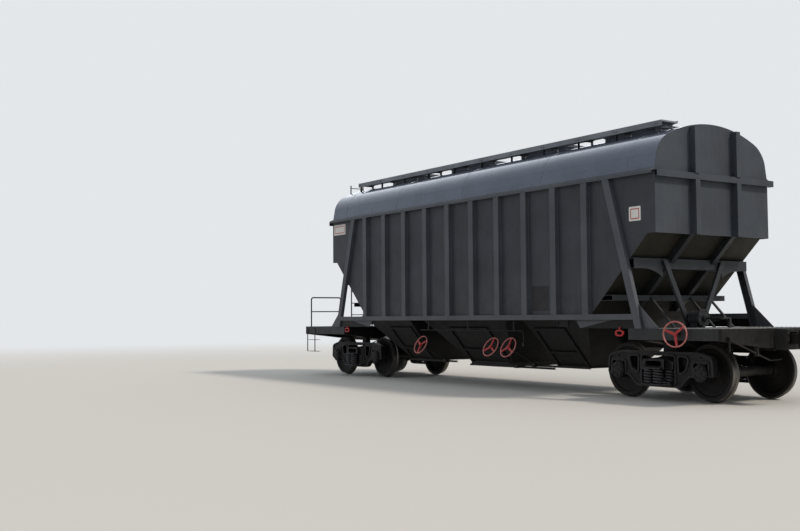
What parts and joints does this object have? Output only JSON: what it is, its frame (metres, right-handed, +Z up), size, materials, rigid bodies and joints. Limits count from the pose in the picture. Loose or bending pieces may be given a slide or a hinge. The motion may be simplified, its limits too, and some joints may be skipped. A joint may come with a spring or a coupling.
{
  "type": "covered hopper wagon",
  "caption": "Long covered hopper wagon for grain: arched roof with hatches, ribbed sides, sloping ends, funnel outlets with sliding gates, on cast bogies.",
  "frame": {"origin": "centre of the wagon in plan, at the lowest point of the wheel flanges", "axes": "+X along the track towards the end with the parking brake, +Y to the left of that, +Z up"},
  "size_m": [14.84, 3.3025, 4.9761],
  "materials": {
    "body_grey": "semi-gloss grey paint, weathered",
    "roof_grey": "semi-gloss blue-grey paint",
    "walkway_steel": "matt grey paint on expanded steel",
    "frame_black": "matt black paint",
    "cast_steel": "black-painted casting with rust dust",
    "spring_steel": "black-painted coil springs",
    "wheel_steel": "rolled steel, bright tread, brown sides",
    "handwheel_red": "red enamel"
  },
  "bodies": {
    "wagon": {"air_pipe": "frame_black", "air_reservoir": "frame_black", "body_bolsters": "frame_black", "brake_cylinder": "frame_black", "centre_sill": "frame_black", "couplers": "cast_steel", "cross_ridges": "body_grey", "end_beams": "body_grey", "end_frames": "body_grey", "front_end_wall": "body_grey", "front_hopper": "body_grey", "front_slope_sheet": "body_grey", "gate_handwheels": "handwheel_red", "hatch_coamings": "roof_grey", "left_roof_sheet": "roof_grey", "left_side_posts": "body_grey", "left_side_wall": "body_grey", "middle_hopper": "body_grey", "parking_brake_wheel": "handwheel_red", "platform_beams": "body_grey", "platform_decks": "body_grey", "platform_railing": "frame_black", "platform_steps": "frame_black", "rear_end_wall": "body_grey", "rear_hopper": "body_grey", "rear_ladder": "frame_black", "rear_slope_sheet": "body_grey", "release_handles": "handwheel_red", "right_roof_sheet": "roof_grey", "right_side_posts": "body_grey", "right_side_wall": "body_grey", "roof_crest_panels": "roof_grey", "roof_walkways": "walkway_steel", "side_sills": "body_grey", "slope_frames": "body_grey", "slope_struts": "body_grey", "top_chords": "roof_grey", "uncoupling_levers": "frame_black"},
    "front_bogie": {"front_bogie_side_frames": "cast_steel", "front_bogie_bolster": "cast_steel", "front_bogie_springs": "spring_steel", "front_bogie_brake_beams": "cast_steel"},
    "front_outer_wheelset_body": {"front_outer_wheelset": "wheel_steel"},
    "front_inner_wheelset_body": {"front_inner_wheelset": "wheel_steel"},
    "rear_bogie": {"rear_bogie_side_frames": "cast_steel", "rear_bogie_bolster": "cast_steel", "rear_bogie_springs": "spring_steel", "rear_bogie_brake_beams": "cast_steel"},
    "rear_outer_wheelset_body": {"rear_outer_wheelset": "wheel_steel"},
    "rear_inner_wheelset_body": {"rear_inner_wheelset": "wheel_steel"},
    "hatch_lid_1_body": {"hatch_lid_1": "roof_grey"},
    "hatch_lid_2_body": {"hatch_lid_2": "roof_grey"},
    "hatch_lid_3_body": {"hatch_lid_3": "roof_grey"},
    "hatch_lid_4_body": {"hatch_lid_4": "roof_grey"},
    "front_gate_body": {"front_gate": "frame_black"},
    "middle_gate_body": {"middle_gate": "frame_black"},
    "rear_gate_body": {"rear_gate": "frame_black"}
  },
  "joints": [
    {"name": "front_bogie_swivel", "type": "hinge", "parent": "wagon", "child": "front_bogie", "pos_m": [5, 0, 0.83], "axis": [0, 0, 1], "range_deg": [-5, 5]},
    {"name": "front_outer_axle_spin", "type": "hinge", "parent": "front_bogie", "child": "front_outer_wheelset_body", "pos_m": [5.925, 0, 0.5065], "axis": [0, 1, 0], "continuous": true},
    {"name": "front_inner_axle_spin", "type": "hinge", "parent": "front_bogie", "child": "front_inner_wheelset_body", "pos_m": [4.075, 0, 0.5065], "axis": [0, 1, 0], "continuous": true},
    {"name": "rear_bogie_swivel", "type": "hinge", "parent": "wagon", "child": "rear_bogie", "pos_m": [-5, 0, 0.83], "axis": [0, 0, 1], "range_deg": [-5, 5]},
    {"name": "rear_outer_axle_spin", "type": "hinge", "parent": "rear_bogie", "child": "rear_outer_wheelset_body", "pos_m": [-5.925, 0, 0.5065], "axis": [0, 1, 0], "continuous": true},
    {"name": "rear_inner_axle_spin", "type": "hinge", "parent": "rear_bogie", "child": "rear_inner_wheelset_body", "pos_m": [-4.075, 0, 0.5065], "axis": [0, 1, 0], "continuous": true},
    {"name": "hatch_lid_1_hinge", "type": "hinge", "parent": "wagon", "child": "hatch_lid_1_body", "pos_m": [-3.75, 0.34, 4.93], "axis": [-1, 0, 0], "range_deg": [0, 100]},
    {"name": "hatch_lid_2_hinge", "type": "hinge", "parent": "wagon", "child": "hatch_lid_2_body", "pos_m": [-1.25, 0.34, 4.93], "axis": [-1, 0, 0], "range_deg": [0, 100]},
    {"name": "hatch_lid_3_hinge", "type": "hinge", "parent": "wagon", "child": "hatch_lid_3_body", "pos_m": [1.25, 0.34, 4.93], "axis": [-1, 0, 0], "range_deg": [0, 100]},
    {"name": "hatch_lid_4_hinge", "type": "hinge", "parent": "wagon", "child": "hatch_lid_4_body", "pos_m": [3.75, 0.34, 4.93], "axis": [-1, 0, 0], "range_deg": [0, 100]},
    {"name": "front_gate_slide", "type": "slide", "parent": "wagon", "child": "front_gate_body", "axis": [-1, 0, 0], "range_m": [0, 0.885]},
    {"name": "middle_gate_slide", "type": "slide", "parent": "wagon", "child": "middle_gate_body", "axis": [1, 0, 0], "range_m": [0, 1.335]},
    {"name": "rear_gate_slide", "type": "slide", "parent": "wagon", "child": "rear_gate_body", "axis": [1, 0, 0], "range_m": [0, 0.885]}
  ]
}
